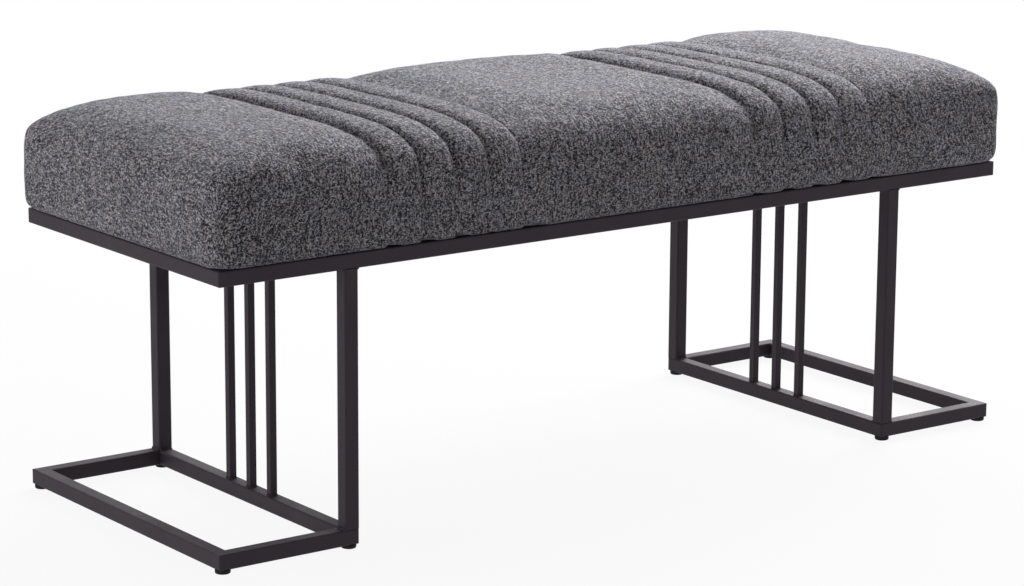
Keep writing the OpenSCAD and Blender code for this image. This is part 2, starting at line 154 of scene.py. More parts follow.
class FinishLook(bpy.types.PropertyGroup):
    """Finishes of the hard parts"""
    coat: colour("Powder coat", "Colour of the frame's coating", (0.0250, 0.0195, 0.0258))
    coat_light: colour("Rubbed coat", "Colour of the coating where it is rubbed", (0.044, 0.036, 0.045))
    coat_roughness: share("Coat roughness", "Roughness of the frame's coating", 0.58)
    dust: colour("Coat specks", "Colour of the fine specks in the coating", (0.06, 0.06, 0.062))
    plastic: colour("Plastic", "Colour of the feet", (0.007, 0.0065, 0.0073))
    plastic_light: colour("Rubbed plastic", "Colour of the feet's rubbed patches", (0.016, 0.0155, 0.0165))
    zinc: colour("Zinc", "Colour of the plated steel", (0.55, 0.55, 0.53))
    wood: colour("Wood", "Colour of the seat board", (0.58, 0.40, 0.22))
    wood_light: colour("Pale grain", "Colour of the seat board's palest grain", (0.72, 0.54, 0.34))
    ply: length("Ply", "Thickness of the seat board's plies", 0.0014)
    lining: colour("Lining", "Colour of the dust cover", (0.010, 0.010, 0.011))
    lining_light: colour("Lining fibres", "Colour of the dust cover's palest fibres", (0.035, 0.035, 0.037))


class SmallSizes(bpy.types.PropertyGroup):
    """Welds, threads and staples"""
    bar_weld: length("Bar weld", "Radius of the weld beads round the thin bars", 0.0019)
    post_weld: length("Post weld", "Radius of the weld beads beside the posts", 0.0022)
    thread_pitch: length("Thread pitch", "Pitch of the feet's threads", 0.001)
    thread_root: length("Thread root", "Radius at the root of the feet's threads", 0.0025)
    thread_crest: length("Thread crest", "Radius at the crest of the feet's threads", 0.00298)
    lining: length("Lining thickness", "Thickness of the dust cover", 0.0005)
    lining_sag: length("Lining sag", "How far the dust cover waves down between its staples", 0.0014)
    staple: length("Staple", "Width of a staple's crown", 0.010)
    staple_wire: length("Staple wire", "Thickness of a staple's wire", 0.0008)
    staple_pitch: length("Staple spacing", "Distance between the staples", 0.055)


class StageLook(bpy.types.PropertyGroup):
    """Floor, lights and camera"""
    eye: place("Camera place", "Where the camera stands", (-2.5212, -3.4064, 1.1735))
    yaw: angle("Camera turn", "Turn of the camera from the bench's long axis", 53.7917)
    tilt: angle("Camera tilt", "How far the camera looks down", 12.7793)
    roll: angle("Camera roll", "Roll of the camera", 0.3149)
    lens: number("Lens", "Focal length in millimetres on a 36 mm sensor", 118.80)
    floor_radius: length("Floor radius", "Radius of the floor", 30.0)
    floor_white: share("Floor light", "Share of the floor's white that no shadow takes away", 0.92)
    floor_grey: share("Floor grey", "How pale the floor is to the light that it throws back", 0.35)
    right: number("Right light", "Strength of the large light high on the right", 120.0)
    overhead: number("Overhead light", "Strength of the light over the bench", 10.0)
    rear: number("Rear light", "Strength of the light behind the bench", 10.0)
    left: number("Left light", "Strength of the light at the left", 20.0)
    front: number("Front light", "Strength of the light at the front", 8.0)
    room: share("Room light", "Strength of the light from all round", 0.12)


def sizes_of(group):
    """A plain copy of a property group, which is quicker to read in a loop."""
    return SimpleNamespace(**{name: getattr(group, name) for name in group.__annotations__})


def add_object(bm, name, *materials, smooth=True):
    """Makes an object from a bmesh and frees it."""
    mesh = bpy.data.meshes.new(name)
    bm.to_mesh(mesh)
    bm.free()
    mesh.polygons.foreach_set("use_smooth", [smooth] * len(mesh.polygons))
    for material in materials:
        mesh.materials.append(material)
    made = bpy.data.objects.new(name, mesh)
    bpy.context.scene.collection.objects.link(made)
    return made


def apply_modifiers(piece):
    """Replaces a piece's mesh by the one that its modifiers make."""
    bpy.context.view_layer.update()
    evaluated = piece.evaluated_get(bpy.context.evaluated_depsgraph_get())
    mesh = bpy.data.meshes.new_from_object(evaluated)
    piece.modifiers.clear()
    old, piece.data = piece.data, mesh
    name = old.name
    bpy.data.meshes.remove(old)
    mesh.name = name


def keep_between(value, low, high):
    return max(low, min(high, value))


def smooth_step(value, low, high):
    """0 at low and below, 1 at high and above, and a soft step between them."""
    t = keep_between((value - low) / (high - low), 0, 1)
    return t * t * (3 - 2 * t)


# Materials

def new_material(name):
    """A node material whose Principled shader is ready, with its tree and shader."""
    material = bpy.data.materials.new(name)
    material.use_nodes = True
    return material, material.node_tree, material.node_tree.nodes["Principled BSDF"]


def fill_inputs(tree, node, inputs):
    """Gives a node's inputs, named or numbered, their values or links them to other nodes' outputs."""
    for key, value in inputs.items():
        if isinstance(value, bpy.types.NodeSocket):
            tree.links.new(value, node.inputs[key])
        else:
            node.inputs[key].default_value = value


def add_node(tree, kind, inputs=None, **settings):
    """Adds a shader node with its settings and inputs."""
    made = tree.nodes.new("ShaderNode" + kind)
    for name, value in settings.items():
        setattr(made, name, value)
    fill_inputs(tree, made, inputs or {})
    return made


def maths(tree, operation, first, second=0.0, third=0.0):
    return add_node(tree, "Math", {0: first, 1: second, 2: third}, operation=operation).outputs[0]


def ramp(tree, factor, stops):
    """A colour ramp through (position, colour) stops."""
    made = add_node(tree, "ValToRGB", {0: factor})
    elements = made.color_ramp.elements
    while len(elements) < len(stops):
        elements.new(0.5)
    for element, (position, rgb) in zip(elements, stops):
        element.position = position
        element.color = (*rgb, 1)
    return made.outputs[0]


def grey(value):
    return (value, value, value)


def noise_node(tree, vector, scale, detail=2.0, roughness=0.5):
    settings = {"Vector": vector, "Scale": scale, "Detail": detail, "Roughness": roughness}
    return add_node(tree, "TexNoise", settings).outputs[0]


def bumped(tree, height, strength, distance):
    """The surface's direction with a pattern's relief."""
    return add_node(tree, "Bump", {"Strength": strength, "Distance": distance, "Height": height}).outputs[0]


def object_place(tree):
    return add_node(tree, "TexCoord").outputs["Object"]


def mixed(tree, factor, first, second, blend="MIX"):
    made = add_node(tree, "Mix", {0: factor, 6: first, 7: second}, data_type="RGBA", blend_type=blend)
    return made.outputs[2]


def rgba(rgb):
    return (*rgb, 1)


def yarn_tone(tree, across, along, offset, rate):
    """A random number for each short run of one yarn: across counts the yarns and along runs down them."""
    yarn = maths(tree, "FLOOR", across)
    seed = maths(tree, "ADD", yarn, offset)
    start = add_node(tree, "TexWhiteNoise", {"W": seed}, noise_dimensions="1D").outputs[0]
    run = maths(tree, "FLOOR", maths(tree, "MULTIPLY_ADD", along, rate, maths(tree, "MULTIPLY", start, 9.0)))
    spot = add_node(tree, "CombineXYZ", {0: yarn, 1: run, 2: offset}).outputs[0]
    return add_node(tree, "TexWhiteNoise", {"Vector": spot}, noise_dimensions="3D").outputs[0]


def yarn_height(tree, across, along):
    """The height of a yarn that bulges over its crossing."""
    side = maths(tree, "SINE", maths(tree, "MULTIPLY", across, math.pi))
    arch = maths(tree, "SINE", maths(tree, "MULTIPLY", along, math.pi))
    return maths(tree, "MULTIPLY", maths(tree, "SQRT", side), maths(tree, "MULTIPLY_ADD", arch, 0.6, 0.4))


def tweed_material(look):
    """Grey melange cloth: a plain weave of mixed light and dark yarns, laid out by the cover's weave map."""
    material, tree, shader = new_material("charcoal_melange_cloth")
    flat = add_node(tree, "UVMap", uv_map="weave").outputs[0]
    wander = add_node(tree, "TexNoise", {"Vector": flat, "Scale": 70, "Detail": 2}).outputs["Color"]
    reach = (look.wander, look.wander, 0)
    moved = add_node(tree, "VectorMath", {0: wander, 1: reach, 2: flat}, operation="MULTIPLY_ADD").outputs[0]
    counted = add_node(tree, "VectorMath", {0: moved, "Scale": 1 / look.yarn}, operation="SCALE").outputs[0]
    parted = add_node(tree, "SeparateXYZ", {0: counted}).outputs
    part = [maths(tree, "FRACT", parted[k]) for k in (0, 1)]
    crossing = maths(tree, "ADD", maths(tree, "FLOOR", parted[0]), maths(tree, "FLOOR", parted[1]))
    weft_up = maths(tree, "FLOORED_MODULO", crossing, 2.0)
    warp = yarn_tone(tree, parted[0], parted[1], 0.0, 0.22)
    weft = yarn_tone(tree, parted[1], parted[0], 41.0, 0.60)
    tone = add_node(tree, "Mix", {0: weft_up, 2: warp, 3: weft}).outputs[0]
    at = object_place(tree)
    cloud = noise_node(tree, at, 330, 2, 0.6)
    fibre = noise_node(tree, at, 1500, 2, 0.7)
    fleck = add_node(tree, "TexVoronoi", {"Vector": at, "Scale": 620}).outputs["Color"]
    fleck = add_node(tree, "SeparateColor", {0: fleck}).outputs[0]
    tone = maths(tree, "MULTIPLY_ADD", tone, 0.80, maths(tree, "MULTIPLY_ADD", fleck, 0.80, -0.8))
    tone = maths(tree, "MULTIPLY_ADD", cloud, 0.7, tone)
    tone = maths(tree, "MULTIPLY_ADD", fibre, 0.6, maths(tree, "SUBTRACT", tone, 0.139))
    stops = [(0.12, look.black), (0.36, look.dark), (0.62, look.middle), (0.92, look.light)]
    cloth = ramp(tree, tone, stops)
    drift = ramp(tree, noise_node(tree, at, 7, 2), [(0.3, grey(0.92)), (0.7, grey(1.0))])
    cloth = mixed(tree, 1.0, cloth, drift, "MULTIPLY")
    dye = ramp(tree, noise_node(tree, at, 48, 3, 0.6), [(0.36, look.warm), (0.64, look.cool)])
    cloth = mixed(tree, 1.0, cloth, dye, "MULTIPLY")
    height = add_node(tree, "Mix", {
        0: weft_up, 2: yarn_height(tree, part[0], part[1]), 3: yarn_height(tree, part[1], part[0]),
    }).outputs[0]
    height = maths(tree, "MULTIPLY_ADD", fibre, 0.5, height)
    fill_inputs(tree, shader, {
        "Base Color": cloth,
        "Normal": bumped(tree, height, 0.7, 0.0005),
        "Roughness": 0.9,
        "Specular IOR Level": 0.2,
        "Sheen Weight": look.sheen,
        "Sheen Roughness": 0.45,
        "Sheen Tint": (0.75, 0.82, 1.0, 1),
    })
    return material


def powder_coat_material(look):
    """Satin black powder coat with a fine orange peel and softly rubbed patches."""
    material, tree, shader = new_material("satin_black_powder_coat")
    at = object_place(tree)
    patches = noise_node(tree, at, 14, 4, 0.6)
    peel = noise_node(tree, at, 900, 2, 0.6)
    specks = noise_node(tree, at, 2600, 1)
    base = ramp(tree, patches, [(0.42, look.coat), (0.80, look.coat_light)])
    speckled = ramp(tree, specks, [(0.66, grey(0)), (0.78, grey(0.5))])
    low, high = look.coat_roughness - 0.05, look.coat_roughness + 0.10
    fill_inputs(tree, shader, {
        "Base Color": mixed(tree, speckled, base, rgba(look.dust)),
        "Roughness": ramp(tree, patches, [(0.3, grey(low)), (0.7, grey(high))]),
        "Normal": bumped(tree, peel, 0.35, 0.00006),
        "Specular IOR Level": 0.32,
        "Specular Tint": (1.0, 0.90, 1.0, 1),
    })
    return material


def plastic_material(look):
    """Matt black moulded plastic."""
    material, tree, shader = new_material("matt_black_plastic")
    at = object_place(tree)
    grain = noise_node(tree, at, 1800, 3, 0.6)
    patches = noise_node(tree, at, 160, 3)
    fill_inputs(tree, shader, {
        "Base Color": ramp(tree, patches, [(0.35, look.plastic), (0.75, look.plastic_light)]),
        "Roughness": ramp(tree, grain, [(0.3, grey(0.52)), (0.7, grey(0.68))]),
        "Normal": bumped(tree, grain, 0.3, 0.00008),
        "Specular IOR Level": 0.2,
    })
    return material


def zinc_material(look):
    """Zinc-plated steel with a faint spangle and fine turning marks."""
    material, tree, shader = new_material("zinc_plated_steel")
    at = object_place(tree)
    spangle = add_node(tree, "TexVoronoi", {"Vector": at, "Scale": 700}).outputs["Color"]
    tint = mixed(tree, 0.12, rgba(look.zinc), spangle)
    dull = ramp(tree, noise_node(tree, at, 220, 4), [(0.4, grey(1.0)), (0.75, (0.70, 0.68, 0.62))])
    stretched = add_node(tree, "Mapping", {0: at, 3: (300, 300, 4000)}).outputs[0]
    marks = noise_node(tree, stretched, 1, 2)
    fill_inputs(tree, shader, {
        "Base Color": mixed(tree, 1.0, tint, dull, "MULTIPLY"),
        "Roughness": ramp(tree, marks, [(0.3, grey(0.28)), (0.7, grey(0.42))]),
        "Normal": bumped(tree, marks, 0.2, 0.00005),
        "Metallic": 1.0,
    })
    return material


def plywood_material(look):
    """Birch plywood: veneer grain along the bench and the plies in its edge."""
    material, tree, shader = new_material("birch_plywood")
    at = object_place(tree)
    grain = noise_node(tree, add_node(tree, "Mapping", {0: at, 3: (6, 160, 160)}).outputs[0], 1, 5, 0.65)
    dark = tuple(0.62 * c for c in look.wood)
    face = ramp(tree, grain, [(0.3, dark), (0.6, look.wood), (0.85, look.wood_light)])
    height = add_node(tree, "SeparateXYZ", {0: at}).outputs[2]
    ply = maths(tree, "PINGPONG", height, look.ply)
    plies = ramp(tree, maths(tree, "DIVIDE", ply, look.ply), [(0.45, grey(1.0)), (0.55, (0.72, 0.66, 0.58))])
    fill_inputs(tree, shader, {
        "Base Color": mixed(tree, 0.6, face, plies, "MULTIPLY"),
        "Normal": bumped(tree, grain, 0.3, 0.0002),
        "Roughness": 0.62,
    })
    return material


def lining_material(look):
    """Black non-woven lining with pressed dots and tangled fibres."""
    material, tree, shader = new_material("black_non_woven_lining")
    at = object_place(tree)
    fibres = noise_node(tree, at, 900, 4, 0.75)
    dots = add_node(tree, "TexVoronoi", {"Vector": at, "Scale": 420, "Randomness": 0.15}).outputs["Distance"]
    height = maths(tree, "MULTIPLY_ADD", dots, 0.8, fibres)
    fill_inputs(tree, shader, {
        "Base Color": ramp(tree, fibres, [(0.35, look.lining), (0.75, look.lining_light)]),
        "Normal": bumped(tree, height, 0.5, 0.0002),
        "Roughness": 0.85,
        "Sheen Weight": 0.15,
    })
    return material


def coat_node(name, material):
    """Gives a CAD node its finish."""
    node = frame["nodes"][name]
    if not node.material_slots:
        node.data.materials.append(material)
    for slot in node.material_slots:
        slot.material = material


def finish_of(name):
    """The finish that a CAD node has."""
    return frame["nodes"][name].material_slots[0].material


def finish_frame(look):
    """Gives each CAD node whose material slot in the packed record is one of these finishes that finish."""
    finishes = {
        "frame_coating": powder_coat_material(look),
        "pad_plastic": plastic_material(look),
        "plated_steel": zinc_material(look),
        "plywood": plywood_material(look),
        "dust_cloth": lining_material(look),
    }
    for part in frame["record"]["subparts"]:
        if part["material_slot"] in finishes:
            coat_node(part["node"], finishes[part["material_slot"]])


# The cushion

# How full the rolled top is: powers of its fall to the sides, of its edge and of its corners.
ROLL_POWER, EDGE_ROOT, CORNER_POWER = 3.5, 5, 4
# The roll's length is measured in this many steps.
ROLL_STEPS = 3000
# The mesh is at its full spacing this far from a seam, and a little closer in the middle of a rib.
SETTLE = 0.04
RIB_SPACING = 0.0065
# A point of the mesh this close to a seam is on it.
ON_SEAM = 1e-4
# No mesh here has more points than this.
POINT_LIMIT = 100_000
# Steps down the sides below the shoulder, as shares of its height.
CURL_SHARES = (0.24, 0.46, 0.65, 0.80, 0.91, 0.975, 1.0)
# Heights above the cushion's bottom between which a seam fades in, the staples let go,
# the cloth starts to wave and the lifted edge ends.
SEAM_FADE = (0.045, 0.080)
STAPLED = (0.003, 0.014)
WAVING = (0.0, 0.02)
LIFTED = (0.0, 0.022)
# Distances past a seam between which its lift of the edge starts and ends.
LIFT_START = (-0.0015, 0.0025)
LIFT_END = (0.0, 0.046)
# How far from a seam its puckers reach, and the height of the bottom edge's own small waves.
PUCKER_REACH = 0.012
EDGE_WAVE = 0.0008
# How many waves of each kind there are to a metre.
PUCKERS = (70, 120, 120)
WAVES, SMALL_WAVES, LIFT_WAVES, EDGE_WAVES = 36, 85, 17, 55
# The cloth's moves are averaged with their neighbours' this many times.
EVEN_ROUNDS = 3
# The turned-in cloth starts just above the cushion's bottom.
FOLD_HEIGHT = 0.0001
# The parts of the cushion's skin: its faces are marked with these, and the top's with 0.
END_SIDE, LONG_SIDE, INSIDE = 1, 2, 3
# The bake map's square is larger than the skin by this factor. The inside lies in a corner of it, with
# its middle at this place, and shrunk this much along and across the bench.
BAKE_ROOM = 1.002
INSIDE_MIDDLE, INSIDE_SCALE = (0.022, 0.045), (0.03, 0.16)


def cushion_shape(group):
    """The cushion's sizes together with its place, from the CAD cover's box."""
    shape = sizes_of(group)
    low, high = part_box("seat_cover")
    shape.half_x, shape.half_y = high.x, high.y
    shape.bottom = low.z
    shape.seam_height = high.z - low.z - shape.panel_rise
    shape.last_seam = shape.first_seam + shape.ribs * shape.seam_pitch
    shape.seams = [shape.first_seam + k * shape.seam_pitch for k in range(shape.ribs + 1)]
    return shape


def rolled(shape, inward):
    """Share of the full height reached at a distance in from the side."""
    return (1 - (1 - min(inward / shape.roll, 1)) ** ROLL_POWER) ** (1 / EDGE_ROOT)


def both_rolled(a, b):
    """Two such shares together, so that the corners fall away."""
    return 0.0 if min(a, b) <= 0 else (a ** -CORNER_POWER + b ** -CORNER_POWER - 1) ** (-1 / CORNER_POWER)


def seam_nearness(shape, x):
    """How close a place along the bench is to a seam: 1 on it, 0 where the swell is full."""
    along = abs(x)
    if along < shape.first_seam:
        return (1 - min((shape.first_seam - along) / shape.panel_fall, 1)) ** shape.panel_shape
    if along > shape.last_seam:
        return (1 - min((along - shape.last_seam) / shape.panel_fall, 1)) ** shape.panel_shape
    turn = (along - shape.first_seam) / shape.seam_pitch
    return abs(2 * (turn - math.floor(turn)) - 1) ** shape.rib_shape


def top_point(shape, x, y):
    """The point of the cushion's top over a place of its plan."""
    in_x, in_y = shape.half_x - abs(x), shape.half_y - abs(y)
    side = rolled(shape, in_y)
    height = both_rolled(rolled(shape, in_x), side)
    near = seam_nearness(shape, x)
    ribbed = shape.first_seam <= abs(x) <= shape.last_seam
    rise = (shape.rib_rise if ribbed else shape.panel_rise) * (1 - near)
    draw = shape.seam_draw * near * 4 * side * (1 - side)
    cut = shape.corner * (1 - math.sqrt(0.5))
    corner = cut * max(0, 1 - in_x / shape.corner) ** 2 * max(0, 1 - in_y / shape.corner) ** 2
    top = shape.shoulder + (shape.seam_height - shape.shoulder) * height + rise * math.sqrt(height)
    return Vector((x - math.copysign(corner, x), y - math.copysign(corner + draw, y), shape.bottom + top))


def graded(span, first, last):
    """Places from 0 to span whose spacing grows evenly from first to last."""
    count = max(1, round(2 * span / (first + last)))
    spacing = [first + (last - first) * k / max(1, count - 1) for k in range(count)]
    scale, places = span / sum(spacing), [0.0]
    for step in spacing:
        places.append(places[-1] + step * scale)
    return places


def down_the_roll(shape, span):
    """Distances in from the side, from span to 0, evenly spaced along the rolled surface."""
    samples = [span * (1 - k / ROLL_STEPS) ** 3 for k in range(ROLL_STEPS + 1)]
    heights = [(shape.seam_height - shape.shoulder) * rolled(shape, s) for s in samples]
    run = [0.0]
    for k in range(1, len(samples)):
        run.append(run[-1] + math.hypot(samples[k] - samples[k - 1], heights[k] - heights[k - 1]))
    count = round(run[-1] / shape.coarse)
    places, k = [], 0
    for step in range(count + 1):
        while k < len(run) - 1 and run[k] < run[-1] * step / count:
            k += 1
        places.append(samples[k])
    return places[:-1] + [0.0]


def mirrored(places):
    return [-p for p in reversed(places) if p > 0] + places


def mesh_columns(shape):
    """Places along the bench of the mesh's columns, closest beside the seams."""
    beside = graded(SETTLE, shape.fine, shape.coarse)
    middle = graded(shape.first_seam - SETTLE, shape.coarse, shape.coarse)
    places = [shape.first_seam - SETTLE - d for d in reversed(middle)]
    places += [shape.first_seam - d for d in reversed(beside)][1:]
    half = graded(shape.seam_pitch / 2, shape.fine, RIB_SPACING)
    rib = half[1:] + [shape.seam_pitch - d for d in reversed(half[:-1])]
    for seam in shape.seams[:-1]:
        places += [seam + d for d in rib]
    places += [shape.last_seam + d for d in beside[1:]]
    places += [shape.half_x - d for d in down_the_roll(shape, shape.half_x - shape.last_seam - SETTLE)][1:]
    return mirrored([max(0.0, p) for p in places])


def mesh_rows(shape):
    """Places across the bench of the mesh's rows."""
    return mirrored([shape.half_y - d for d in down_the_roll(shape, shape.half_y)])


def curl(shape):
    """Levels of the sides below the shoulder: (height above the bottom, draw-in, run along the cloth)."""
    levels, before, run = [], (shape.shoulder, 0.0), 0.0
    for t in CURL_SHARES:
        level = (shape.shoulder * (1 - t), shape.tuck * (1 - math.sqrt(1 - t ** 6)))
        run += math.hypot(level[0] - before[0], level[1] - before[1])
        levels.append((*level, run))
        before = level
    return levels


def grid_points(bm, columns, rows):
    """The points of a fresh grid by their column and row."""
    grid = {}
    for vert in bm.verts:
        grid[round((vert.co.x + 1) / 2 * (columns - 1)), round((vert.co.y + 1) / 2 * (rows - 1))] = vert
    return grid


def measure_weave(grid, layer, count, other, flip):
    """Notes on each point of the grid how far it is along the cloth from the cushion's middle, one way."""
    middle = count // 2
    for fixed in range(other):
        for direction in (1, -1):
            run, before = 0.0, None
            for k in range(middle, count if direction > 0 else -1, direction):
                vert = grid[(fixed, k) if flip else (k, fixed)]
                if before:
                    run += (vert.co - before.co).length
                vert[layer] = run * direction
                before = vert


def order_number(element):
    """A number that sorts edges, or faces, by their points' numbers in the mesh."""
    order = 0
    for index in sorted(v.index for v in element.verts)[:3]:
        order = order * POINT_LIMIT + index
    return order


def sort_mesh(bm):
    """Puts edges and faces in the same order on each run, which keeps the simulation's result the same."""
    bm.verts.index_update()
    bm.edges.sort(key=order_number)
    bm.faces.sort(key=order_number)


def extend_rim(bm, edges, side, at_ends):
    """Extrudes the open rim, marks the new faces with the side they belong to, and returns the new rim."""
    above = {edge: edge.link_faces[0] for edge in edges}
    made = bmesh.ops.extrude_edge_only(bm, edges=edges)["geom"]
    for edge, face in above.items():
        new_side = face[side] or (END_SIDE if all(v in at_ends for v in edge.verts) else LONG_SIDE)
        for other in edge.link_faces:
            if other is not face:
                other[side] = new_side
    bm.verts.index_update()
    return sorted((g for g in made if isinstance(g, bmesh.types.BMEdge)), key=order_number)


def points_of(edges):
    return {v for e in edges for v in e.verts}


def build_cover(shape):
    """The cover's top and sides, as an open shell down to its bottom edge."""
    columns, rows = mesh_columns(shape), mesh_rows(shape)
    bm = bmesh.new()
    bmesh.ops.create_grid(bm, x_segments=len(columns) - 1, y_segments=len(rows) - 1, size=1)
    across, along, drop = [bm.verts.layers.float.new(name) for name in ("across", "along", "drop")]
    side = bm.faces.layers.int.new("side")
    grid = grid_points(bm, len(columns), len(rows))
    for (i, j), vert in grid.items():
        vert.co = top_point(shape, columns[i], rows[j])
    measure_weave(grid, across, len(columns), len(rows), False)
    measure_weave(grid, along, len(rows), len(columns), True)
    at_ends = {vert for (i, j), vert in grid.items() if i in (0, len(columns) - 1)}
    edges = [e for e in bm.edges if e.is_boundary]
    before = 0.0
    for height, draw, run in curl(shape):
        edges = extend_rim(bm, edges, side, at_ends)
        for vert in points_of(edges):
            vert.co.x *= (shape.half_x - draw) / (shape.half_x - before)
            vert.co.y *= (shape.half_y - draw) / (shape.half_y - before)
            vert.co.z = shape.bottom + height
            vert[drop] = run
        before = draw
    bmesh.ops.recalc_face_normals(bm, faces=bm.faces[:])
    sort_mesh(bm)
    return bm


def nearest_seam(shape, point):
    """The distance along the bench from the nearest seam, positive on its outer side."""
    return min((abs(point.x) - seam for seam in shape.seams), key=abs)


def seam_strength(shape, point):
    """1 over the cushion's top, fading to 0 as a seam runs out on the sides."""
    return smooth_step(point.z - shape.bottom, *SEAM_FADE)


def hold_points(cover, shape):
    """The vertex group that holds the cloth: its seams and its stapled bottom edge."""
    held = cover.vertex_groups.new(name="held")
    for vert in cover.data.vertices:
        weight = seam_strength(shape, vert.co) if abs(nearest_seam(shape, vert.co)) < ON_SEAM else 0.0
        weight = max(weight, 1 - smooth_step(vert.co.z - shape.bottom, *STAPLED))
        if weight > 0:
            held.add([vert.index], weight, "REPLACE")


def simulate_swell(cover, shape):
    """Lets the filling's pressure swell the cover, and returns how far each point moved."""
    rest = [v.co.copy() for v in cover.data.vertices]
    hold_points(cover, shape)
    cloth = cover.modifiers.new("swell", "CLOTH")
    settings = cloth.settings
    settings.quality = 5
    settings.mass = 0.3
    settings.tension_stiffness = settings.compression_stiffness = 15
    settings.shear_stiffness = 8
    settings.bending_stiffness = 1.5
    settings.air_damping = 1.0
    settings.vertex_group_mass = "held"
    settings.pin_stiffness = 1.0
    settings.use_pressure = True
    settings.uniform_pressure_force = shape.pressure
    settings.effector_weights.gravity = 0
    scene = bpy.context.scene
    cloth.point_cache.frame_start, cloth.point_cache.frame_end = 1, shape.frames
    for frame_number in range(1, shape.frames + 1):
        scene.frame_set(frame_number)
    evaluated = cover.evaluated_get(bpy.context.evaluated_depsgraph_get())
    moves = [v.co - at for v, at in zip(evaluated.data.vertices, rest)]
    cover.modifiers.remove(cloth)
    cover.vertex_groups.clear()
    scene.frame_set(1)
    return moves


def evened(mesh, moves, rounds):
    """Each point's move averaged with its neighbours' a few times."""
    beside = [[] for _ in mesh.vertices]
    for edge in mesh.edges:
        first, second = edge.vertices
        beside[first].append(second)
        beside[second].append(first)
    for _ in range(rounds):
        sums = [sum((moves[k] for k in others), move) for move, others in zip(moves, beside)]
        moves = [total / (1 + len(others)) for total, others in zip(sums, beside)]
    return moves


def swelling(cover, shape):
    """How far the filling moves each point of the cover, evened out and kept within the limit."""
    limited = []
    for move in evened(cover.data, simulate_swell(cover, shape), EVEN_ROUNDS):
        size = move.length
        limited.append(move * (math.tanh(size / shape.cap) * shape.cap / max(size, 1e-9)))
    return limited


def swell_cover(cover, shape):
    """Starts from a cover that is smaller by most of its own swelling, and lets the filling swell it out."""
    for share_of_move in (-shape.preload, 1.0):
        for vert, move in zip(cover.data.vertices, swelling(cover, shape)):
            vert.co += move * share_of_move


def dress_cover(cover, shape):
    """Presses in the creases, puckers and waves the cloth, and lifts its edge under the seams."""
    mesh = cover.data
    for vert, normal in zip(mesh.vertices, [n.vector.copy() for n in mesh.vertex_normals]):
        at = vert.co.copy()
        height, off = at.z - shape.bottom, nearest_seam(shape, at)
        strength = seam_strength(shape, at)
        sunk = shape.crease * math.exp(-(off / shape.crease_half) ** 2) * strength
        folds = noise.noise(at * Vector(PUCKERS))
        fold = shape.pucker * folds * math.exp(-(off / PUCKER_REACH) ** 2) * strength
        wave = shape.unevenness * (noise.noise(at * WAVES) + 0.6 * noise.noise(at * SMALL_WAVES))
        vert.co += normal * ((wave + fold) * smooth_step(height, *WAVING) - sunk)
        low = 1 - smooth_step(height, *LIFTED)
        past = math.copysign(off, off * at.x)
        uneven = 0.7 + 1.3 * noise.noise(at * LIFT_WAVES)
        lift = smooth_step(past, *LIFT_START) * (1 - smooth_step(past, *LIFT_END)) * uneven
        vert.co.z += low * (shape.scallop * max(0, lift) + EDGE_WAVE * max(0, noise.noise(at * EDGE_WAVES)))


def close_bottom(cover, shape):
    """Turns the cover in under the board, lines the board's room and lays the weave and bake maps."""
    bm = bmesh.new()
    bm.from_mesh(cover.data)
    side, drop = bm.faces.layers.int["side"], bm.verts.layers.float["drop"]
    edges = [e for e in bm.edges if e.is_boundary]
    before = shape.tuck
    turned = shape.tuck + shape.turn_in
    levels = (
        (FOLD_HEIGHT, turned), (shape.cloth, turned),
        (shape.cloth, shape.board_inset), (shape.cloth + shape.board, shape.board_inset),
    )
    for height, inset in levels:
        step = abs(inset - before) + (0.0 if inset != before else shape.cloth)
        edges = extend_rim(bm, edges, side, ())
        for vert in points_of(edges):
            vert.co.x *= (shape.half_x - inset) / (shape.half_x - before)
            vert.co.y *= (shape.half_y - inset) / (shape.half_y - before)
            vert.co.z = shape.bottom + height
            vert[drop] += step
        before = inset
    for made in bmesh.ops.triangle_fill(bm, use_beauty=True, edges=edges)["geom"]:
        if isinstance(made, bmesh.types.BMFace):
            made[side] = INSIDE
    bmesh.ops.recalc_face_normals(bm, faces=bm.faces[:])
    map_weave(bm, side, drop)
    sort_mesh(bm)
    bm.to_mesh(cover.data)
    bm.free()
    for name in ("side", "drop", "across", "along"):
        cover.data.attributes.remove(cover.data.attributes[name])
    cover.data.polygons.foreach_set("use_smooth", [True] * len(cover.data.polygons))


def map_weave(bm, side, drop):
    """Lays the weave map, whose two distances run on down the sides, and the same fitted to a unit square."""
    across, along = bm.verts.layers.float["across"], bm.verts.layers.float["along"]
    weave, bake = bm.loops.layers.uv.new("weave"), bm.loops.layers.uv.new("OFBake")
    for face in bm.faces:
        middle = face.calc_center_median()
        ends = math.copysign(face[side] == END_SIDE, middle.x)
        longs = math.copysign(face[side] == LONG_SIDE, middle.y)
        for loop in face.loops:
            vert = loop.vert
            if face[side] == INSIDE:
                loop[weave].uv = (vert.co.x, vert.co.y)
            else:
                loop[weave].uv = (vert[across] + ends * vert[drop], vert[along] + longs * vert[drop])
    outer = [loop[weave].uv for face in bm.faces if face[side] != INSIDE for loop in face.loops]
    wide = max(abs(uv.x) for uv in outer) * 2 * BAKE_ROOM
    deep = max(abs(uv.y) for uv in outer) * 2 * BAKE_ROOM
    for face in bm.faces:
        for loop in face.loops:
            uv = loop[weave].uv
            if face[side] == INSIDE:
                loop[bake].uv = Vector(INSIDE_MIDDLE) + uv * Vector(INSIDE_SCALE)
            else:
                loop[bake].uv = (0.5 + uv.x / wide, 0.5 + uv.y / deep)


